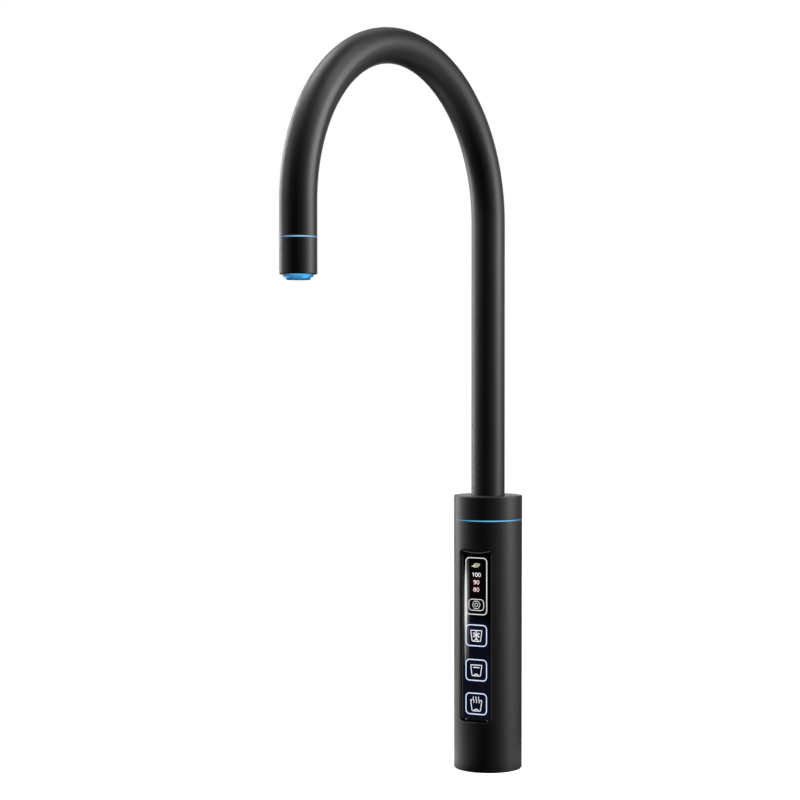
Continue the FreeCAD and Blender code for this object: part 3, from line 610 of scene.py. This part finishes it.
def eased_tube(angle, distances, heights, ease, radii, sections=72, around=20):
    """A hose or lead beside the axis, in the upright plane at an angle.

    Its distance from the axis goes from the first to the second by the smooth step 3 t^2 - 2 t^3 of its
    height within the ease, and its round sections stand square to that line. Where there is an inner
    radius, the wall comes back down inside.
    """
    foot, top = distances
    outer, inner = radii
    height = np.linspace(*heights, sections)
    t = np.clip((height - ease[0]) / (ease[1] - ease[0]), 0.0, 1.0)
    distance = foot + (top - foot) * t * t * (3 - 2 * t)
    lean = np.arctan(np.gradient(distance, height))
    turn = np.linspace(0.0, 2 * np.pi, around, endpoint=False)
    outward = np.array([math.cos(angle), math.sin(angle), 0.0])
    sideways = np.array([-math.sin(angle), math.cos(angle), 0.0])
    up = np.array([0.0, 0.0, 1.0])

    def wall(radius):
        r = distance[:, None] + np.cos(lean)[:, None] * radius * np.cos(turn)
        z = height[:, None] - np.sin(lean)[:, None] * radius * np.cos(turn)
        s = np.broadcast_to(radius * np.sin(turn), r.shape)
        return r[..., None] * outward + s[..., None] * sideways + z[..., None] * up

    if inner:
        return skin(np.concatenate([wall(outer), wall(inner)[::-1]]), True)
    return skin(wall(outer), False)


def piece(name, parts, finish):
    """One object from several (vertices, faces) parts."""
    starts = np.cumsum([0] + [len(vertices) for vertices, _ in parts[:-1]]).tolist()
    faces = [[i + start for i in face] for start, (_, some) in zip(starts, parts) for face in some]
    mesh = bpy.data.meshes.new(name)
    mesh.from_pydata(np.concatenate([vertices for vertices, _ in parts]).tolist(), [], faces)
    mesh.materials.append(finish)
    mesh.update()
    made = bpy.data.objects.new(name, mesh)
    bpy.context.scene.collection.objects.link(made)
    return made


def printed_sign(name, parts, finish):
    """A sign drawn with the panel facing -Y, and turned with the panel about the body's axis."""
    c, s = math.cos(PANEL_TURN), math.sin(PANEL_TURN)
    turn = np.array([[c, -s, 0.0], [s, c, 0.0], [0.0, 0.0, 1.0]])
    turned = [(vertices @ turn.T, faces) for vertices, faces in parts]
    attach(piece(name, turned, finish), "column")


# Signs on the glass


def tumbler(rim, foot, open_rim=False):
    """Drinking glass between two heights: sloping sides, a swollen base, and a rim that may be open."""
    half_rim, half_foot, corner, line = 4.0 * MM, 3.0 * MM, 0.8 * MM, 0.5 * MM
    half_swell, swell_lift, swell_rise, swell_line = 1.5 * MM, 0.2 * MM, 0.95 * MM, 0.46 * MM
    half_opening = 2.7 * MM
    sides = [(-half_rim, rim), (-half_foot, foot), (half_foot, foot), (half_rim, rim)]
    parts = [stroke(rounded_line(sides, corner), line)]
    turn = np.linspace(0.0, np.pi, 12)
    swell = np.stack([half_swell * np.cos(turn), foot + swell_lift + swell_rise * np.sin(turn)], -1)
    parts.append(stroke(swell, swell_line))
    if not open_rim:
        return parts + [stroke(bar((-half_rim, rim), (half_rim, rim)), line)]
    for side in (-1.0, 1.0):
        parts.append(stroke(bar((side * half_rim, rim), (side * half_opening, rim)), line))
    return parts


def snowflake(centre):
    """Six arms, each with a short barb on both sides near its end."""
    arm, barb_start, barb_end, barb_side = 2.6 * MM, 1.5 * MM, 2.2 * MM, 0.7 * MM
    arm_line, barb_line = 0.42 * MM, 0.26 * MM
    middle = np.array([0.0, centre])
    parts = []
    for angle in np.arange(6) * np.pi / 3 + np.pi / 2:
        out = np.array([math.cos(angle), math.sin(angle)])
        side = np.array([-out[1], out[0]])
        parts.append(stroke(bar(middle, middle + out * arm), arm_line))
        for hand in (-1.0, 1.0):
            tip = middle + out * barb_end + side * hand * barb_side
            parts.append(stroke(bar(middle + out * barb_start, tip), barb_line))
    return parts


def steam(low, high):
    """Three rising wisps: upright lines whose sideways place is a sine of their height."""
    spread, sway, line = 1.9 * MM, 0.35 * MM, 0.42 * MM
    rise = np.linspace(0.0, 1.0, 16)
    parts = []
    for across in (-spread, 0.0, spread):
        wave = across + sway * np.sin(2 * np.pi * rise)
        parts.append(stroke(np.stack([wave, low + (high - low) * rise], -1), line))
    return parts


def leaf(centre):
    """Leaf for the saving mode: two arcs that meet in points, and a midrib that runs on as a stalk."""
    half_length, half_width, tilt = 2.6 * MM, 1.05 * MM, math.radians(14.0)
    edge_line, rib_line = 0.42 * MM, 0.4 * MM
    stalk_end, rib_end, rib_points = -1.35, 0.45, 9
    share = np.linspace(-1.0, 1.0, 17)
    c, s = math.cos(tilt), math.sin(tilt)

    def tilted(along, off):
        return np.stack([along * c - off * s, along * s + off * c + centre], -1)

    swell = half_width * (1 - share ** 2)
    upper = tilted(half_length * share, swell)
    lower = tilted(half_length * share[::-1], -swell)[1:-1]
    rib = tilted(np.linspace(stalk_end, rib_end, rib_points) * half_length, np.zeros(rib_points))
    return [stroke(np.concatenate([upper, lower]), edge_line, True), stroke(rib, rib_line)]


def settings_nut(centre):
    """Hexagon nut for the settings: a six-sided outline round a ring."""
    reach, bore, line = 2.8 * MM, 1.1 * MM, 0.4 * MM
    angle = np.arange(7) * np.pi / 3
    corners = np.stack([reach * np.cos(angle), centre + reach * np.sin(angle)], -1)
    edges = [stroke(bar(a, b), line) for a, b in zip(corners[:-1], corners[1:])]
    return edges + [stroke(oval(bore, bore, 0.0, centre), line, True)]


def figure(mark, x, z):
    """Figures 0, 1, 8 and 9 from ovals and bent lines."""
    half_width, half_tall, line = 0.8 * MM, 1.2 * MM, 0.43 * MM
    stem_shift, flag_rise, flag_corner = 0.2 * MM, 0.6 * MM, 0.1 * MM
    half_loop, loop = 0.74 * MM, 0.62 * MM
    tail_reach, tail_corner = 0.6 * MM, 0.75 * MM
    if mark == "0":
        return [stroke(oval(half_width, half_tall, x, z), line, True)]
    if mark == "1":
        stem = x + stem_shift
        flag = [(stem - half_width, z + flag_rise), (stem, z + half_tall), (stem, z - half_tall)]
        return [stroke(rounded_line(flag, flag_corner), line)]
    upper = stroke(oval(half_loop, loop, x, z + half_tall - loop), line, True)
    if mark == "8":
        return [upper, stroke(oval(half_width, loop, x, z - half_tall + loop), line, True)]
    side = x + half_loop
    tail = [(side, z + half_tall - loop), (side, z - half_tall), (x - tail_reach, z - half_tall)]
    return [upper, stroke(rounded_line(tail, tail_corner), line)]


def number(text, z):
    """Figures side by side about the middle line."""
    pitch = 2.25 * MM
    first = -pitch * (len(text) - 1) / 2
    return [part for i, mark in enumerate(text) for part in figure(mark, first + pitch * i, z)]


def print_display():
    """The display's frame, the saving leaf, the temperatures and the settings key."""
    outline = rounded_frame(*DISPLAY_FRAME, DISPLAY_HEIGHT)
    white = lit_print("frame_light", (0.55, 0.56, 0.57), (0.72, 0.73, 0.74), DISPLAY_HEIGHT, reach=22 * MM)
    printed_sign("display_frame", [stroke(outline, DISPLAY_LINE, True)], white)
    green = lit_print("leaf_sign_light", (0.42, 0.48, 0.3), (0.74, 0.79, 0.6), LEAF_HEIGHT, reach=5 * MM)
    printed_sign("leaf_sign", leaf(LEAF_HEIGHT), green)
    for text, height, dim, bright in (
        ("100", HUNDRED_HEIGHT, (0.57, 0.57, 0.56), (0.93, 0.93, 0.92)),
        ("90", NINETY_HEIGHT, (0.58, 0.42, 0.43), (0.92, 0.74, 0.75)),
        ("80", EIGHTY_HEIGHT, (0.58, 0.37, 0.4), (0.9, 0.64, 0.67)),
    ):
        name = "number_" + text
        light = lit_print(name + "_light", dim, bright, height, reach=5 * MM)
        printed_sign(name, number(text, height), light)
    outline = rounded_frame(*SETTINGS_FRAME, SETTINGS_HEIGHT)
    parts = [stroke(outline, SETTINGS_LINE, True)] + settings_nut(SETTINGS_HEIGHT)
    dim, bright = (0.47, 0.475, 0.48), (0.63, 0.64, 0.65)
    grey = lit_print("settings_light", dim, bright, SETTINGS_HEIGHT, reach=8 * MM)
    printed_sign("settings_key", parts, grey)


def print_keys():
    """The three touch keys: a rounded frame, and a drinking glass with the water's own sign."""
    chilled, still, hot = KEY_HEIGHTS
    rim, foot, sink = 3.3 * MM, 3.8 * MM, 0.9 * MM
    flake_rise, wisp_low, wisp_high = 0.3 * MM, 0.6 * MM, 4.7 * MM
    half_level, level_rise, level_line = 2.3 * MM, 1.7 * MM, 0.52 * MM
    level = bar((-half_level, still + level_rise), (half_level, still + level_rise))
    wisps = steam(hot + wisp_low, hot + wisp_high)
    for name, centre, parts in (
        ("chilled_key", chilled, tumbler(chilled + rim, chilled - foot) + snowflake(chilled + flake_rise)),
        ("still_key", still, tumbler(still + rim, still - foot) + [stroke(level, level_line)]),
        ("hot_key", hot, tumbler(hot + rim - sink, hot - foot - sink, True) + wisps),
    ):
        outline = stroke(rounded_frame(*KEY_FRAME, centre), KEY_LINE, True)
        blue = lit_print(name + "_light", (0.55, 0.66, 0.84), (0.75, 0.82, 0.92), centre, reach=12 * MM)
        printed_sign(name, [outline], blue)
        white = lit_print(name + "_sign_light", (0.66, 0.66, 0.73), (0.96, 0.96, 1.0), centre, reach=7 * MM)
        printed_sign(name + "_sign", parts, white)


# Hoses and lead that twist below the swivel


def twisting_tail(node, angle, circles, ease, radii, finish):
    """Puts a tube in a node's place.
    """
    heights = [corner[2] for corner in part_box(node)]
    tail = piece(node + "_twisting", [eased_tube(angle, circles, heights, ease, radii)], finish)
    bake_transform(tail)
    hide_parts(node)


def twisting_tails(hose, jacket):
    """The three hoses from the inlets and the lead from the panel, whose tops turn with the spout."""
    for third, water in enumerate(("hot", "still", "sparkling")):
        angle = FIRST_HOSE + third * 2 * math.pi / 3
        node = water + "_tail_hose"
        twisting_tail(node, angle, HOSE_CIRCLES, HOSE_EASE, HOSE_RADII, hose)
    node = "nozzle_lead_tail"
    angle = FIRST_HOSE + math.pi
    twisting_tail(node, angle, LEAD_CIRCLES, LEAD_EASE, LEAD_RADII, jacket)


# Studio


def soft_light(name, bearing, power, distance, height, size, aim, shape="RECTANGLE"):
    """Flat lamp at a bearing from the camera's side, turned to face the axis at a height."""
    angle = CAMERA_BEARING + math.radians(bearing)
    lamp = bpy.data.lights.new(name, "AREA")
    lamp.shape = shape
    lamp.size, lamp.size_y = size
    lamp.energy = power
    made = bpy.data.objects.new(name, lamp)
    made.location = (distance * math.cos(angle), distance * math.sin(angle), height)
    drop = math.atan2(height - aim, distance)
    made.rotation_euler = (math.pi / 2 - drop, 0.0, angle + math.pi / 2)
    bpy.context.scene.collection.objects.link(made)


def lamp_row(name, powers, distance, height, size, aim):
    """Equal lamps round the tap, from their bearings in degrees and their powers in watts."""
    for bearing, power in powers.items():
        soft_light(f"{name}_{bearing % 360}", bearing, power, distance, height, size, aim)


def floor_row(name, powers, distance, side):
    """Square sheets that glow upwards from just over the floor."""
    lamp_row(name, powers, distance, FLOOR_LIFT, (side, side), OVERHEAD)


def streak_tube(name, bearing, power, distance, height, size):
    """Narrow upright lamp whose mirror image is a streak on the glass."""
    soft_light(name, bearing, power, distance, height, size, height, "ELLIPSE")


def studio_lamps():
    """All lamps, at bearings from the camera's side.

    Tall and low boxes stand beside the tap, sheets behind it and roof lights over it. The pale floor's glow
    comes from sheets that lie far away, nearer, at the foot and at its rim.
    """
    lamp_row(
        "tall_box", {80: 20.9, -78: 3.8, -126: 10.0},
        distance=1.3, height=0.8, size=(0.4, 0.7), aim=0.4,
    )
    lamp_row(
        "low_box", {80: 3.9, -95: 1.3, -126: 5.4},
        distance=1.3, height=0.2, size=(0.4, 0.4), aim=0.15,
    )
    lamp_row(
        "back_sheet", {150: 1.0, 180: 1.7},
        distance=1.3, height=0.45, size=(0.5, 0.5), aim=0.3,
    )
    lamp_row(
        "roof", {0: 0.6, 60: 6.7, 180: 1.7, -60: 2.3, -120: 10.0},
        distance=0.8, height=1.5, size=(0.6, 0.6), aim=0.3,
    )
    floor_row("far_floor", {110: 0.49}, distance=0.55, side=0.35)
    floor_row("near_floor", {85: 0.2, -126: 0.4}, distance=0.28, side=0.3)
    floor_row("foot_floor", {85: 0.015, -80: 0.015, -140: 0.035}, distance=0.085, side=0.1)
    floor_row("rim_floor", {85: 0.002, -85: 0.004, -125: 0.005}, distance=0.045, side=0.044)
    streak_tube("glass_tube", -48.93, 0.0026, distance=0.4, height=0.054, size=(0.0018, 0.084))
    streak_tube("glass_tube_core", -48.88, 0.004, distance=0.396, height=0.067, size=(0.002, 0.052))
    streak_tube("glass_tube_side", -48.65, 0.0008, distance=0.4, height=0.06, size=(0.0017, 0.09))


def studio_floor():
    """Pale sheet under the tap: an even square grid whose rim is far out of view."""
    half, count, drop = 6.0, 9, 0.2 * MM
    line = np.linspace(-half, half, count)
    x, y = np.meshgrid(line, line)
    points = np.stack([x, y, np.full_like(x, -drop)], -1).reshape(-1, 3)
    index = np.arange(count * count).reshape(count, count)
    quads = np.stack([index[:-1, :-1], index[:-1, 1:], index[1:, 1:], index[1:, :-1]], -1).reshape(-1, 4)
    mesh = bpy.data.meshes.new("studio_floor")
    mesh.from_pydata(points.tolist(), [], quads.tolist())
    f = Finish("pale_paper")
    mesh.materials.append(
        f.surface(
            Base_Color=f.tint(f.noise(3.0), (0.86, 0.86, 0.86), (0.9, 0.9, 0.9)),
            Roughness=0.9,
            Emission_Color=(1.0, 1.0, 1.0, 1.0),
            Emission_Strength=1.0,
        )
    )
    made = bpy.data.objects.new("studio_floor", mesh)
    bpy.context.scene.collection.objects.link(made)
    made.visible_glossy = False
    made.visible_diffuse = False


def studio_air():
    """White surround. The lamps, and not the air, light the tap."""
    world = bpy.data.worlds.new("studio_air")
    bpy.context.scene.world = world
    world.use_nodes = True
    background = world.node_tree.nodes["Background"]
    background.inputs["Color"].default_value = (1.0, 1.0, 1.0, 1.0)
    world.cycles_visibility.glossy = False
    world.cycles_visibility.diffuse = False
    bpy.context.scene.view_settings.view_transform = "Standard"


def photo_camera():
    """Camera at the photograph's place: 1.28 m from the axis and 261 mm up, looking down a little."""
    lens = bpy.data.cameras.new("photo_camera")
    lens.lens = CAMERA_LENS
    lens.sensor_width = CAMERA_SENSOR
    made = bpy.data.objects.new("photo_camera", lens)
    made.location = CAMERA_PLACE
    made.rotation_euler = (CAMERA_TILT, 0.0, CAMERA_TURN)
    bpy.context.scene.collection.objects.link(made)
    bpy.context.scene.camera = made


# The tap

dress(powder_coat(), "body_shell", "body_cap", "spout_tube", "nozzle_sleeve")
dress(panel_gloss(), "panel_glass")
dress(bezel_satin(), "panel_bezel")
for ring, lights, front, pale in (
    ("body_light_ring", BODY_RING_LIGHTS, BODY_RING_FRONT, (0.15, 0.42, 0.55)),
    ("nozzle_light_ring", NOZZLE_RING_LIGHTS, NOZZLE_FRONT, (0.27, 0.48, 0.58)),
):
    dress(light_guide(ring, lights, front, pale), ring)
dress(outlet_glow(), "outlet_insert")
dress(
    turned_metal("turned_brass", (0.5, 0.33, 0.11), (0.72, 0.5, 0.2), rough=0.25, per_metre=9000.0),
    "base_plug", "hot_inlet_fitting", "still_inlet_fitting", "sparkling_inlet_fitting",
    "spout_socket", "spout_spigot", "nozzle_coupler",
)
dress(
    turned_metal("plain_steel", (0.42, 0.42, 0.43), (0.62, 0.62, 0.63), rough=0.28, per_metre=12000.0),
    "board_screws", "socket_screws", "swivel_stop_screw", "retaining_clip",
)
dress(
    soft_rubber("black_rubber", (0.012, 0.012, 0.012), (0.035, 0.035, 0.035)),
    "deck_seal", "lead_grommet", "spigot_o_rings", "outlet_seal",
)
milky_hose = hose_wall()
dress(
    milky_hose,
    "hot_riser_hose", "still_riser_hose", "sparkling_riser_hose",
    "hot_tail_hose", "still_tail_hose", "sparkling_tail_hose",
)
lead_jacket = soft_rubber("black_lead_jacket", (0.016, 0.016, 0.017), (0.04, 0.04, 0.042))
dress(lead_jacket, "nozzle_lead", "nozzle_lead_tail")
dress(
    moulding("natural_moulding", (0.68, 0.67, 0.62), (0.82, 0.81, 0.77), rough=0.4),
    "glide_bushes", "thrust_washer", "hose_union", "outlet_collector",
)
dress(
    moulding("grey_moulding", (0.22, 0.22, 0.23), (0.33, 0.33, 0.34), rough=0.45),
    "insulating_liner", "flow_straightener",
)
dress(
    moulding("white_moulding", (0.78, 0.78, 0.77), (0.9, 0.9, 0.89), rough=0.4),
    "icon_light_box", "board_connector",
)
dress(circuit_laminate(), "touch_board", "ring_led_board", "nozzle_led_board")
dress(light_chip(), "panel_leds", "ring_leds", "nozzle_leds")
dress(sensor_film(), "touch_foil")

print_display()
print_keys()
twisting_tails(milky_hose, lead_jacket)

studio_lamps()
studio_floor()
studio_air()
photo_camera()
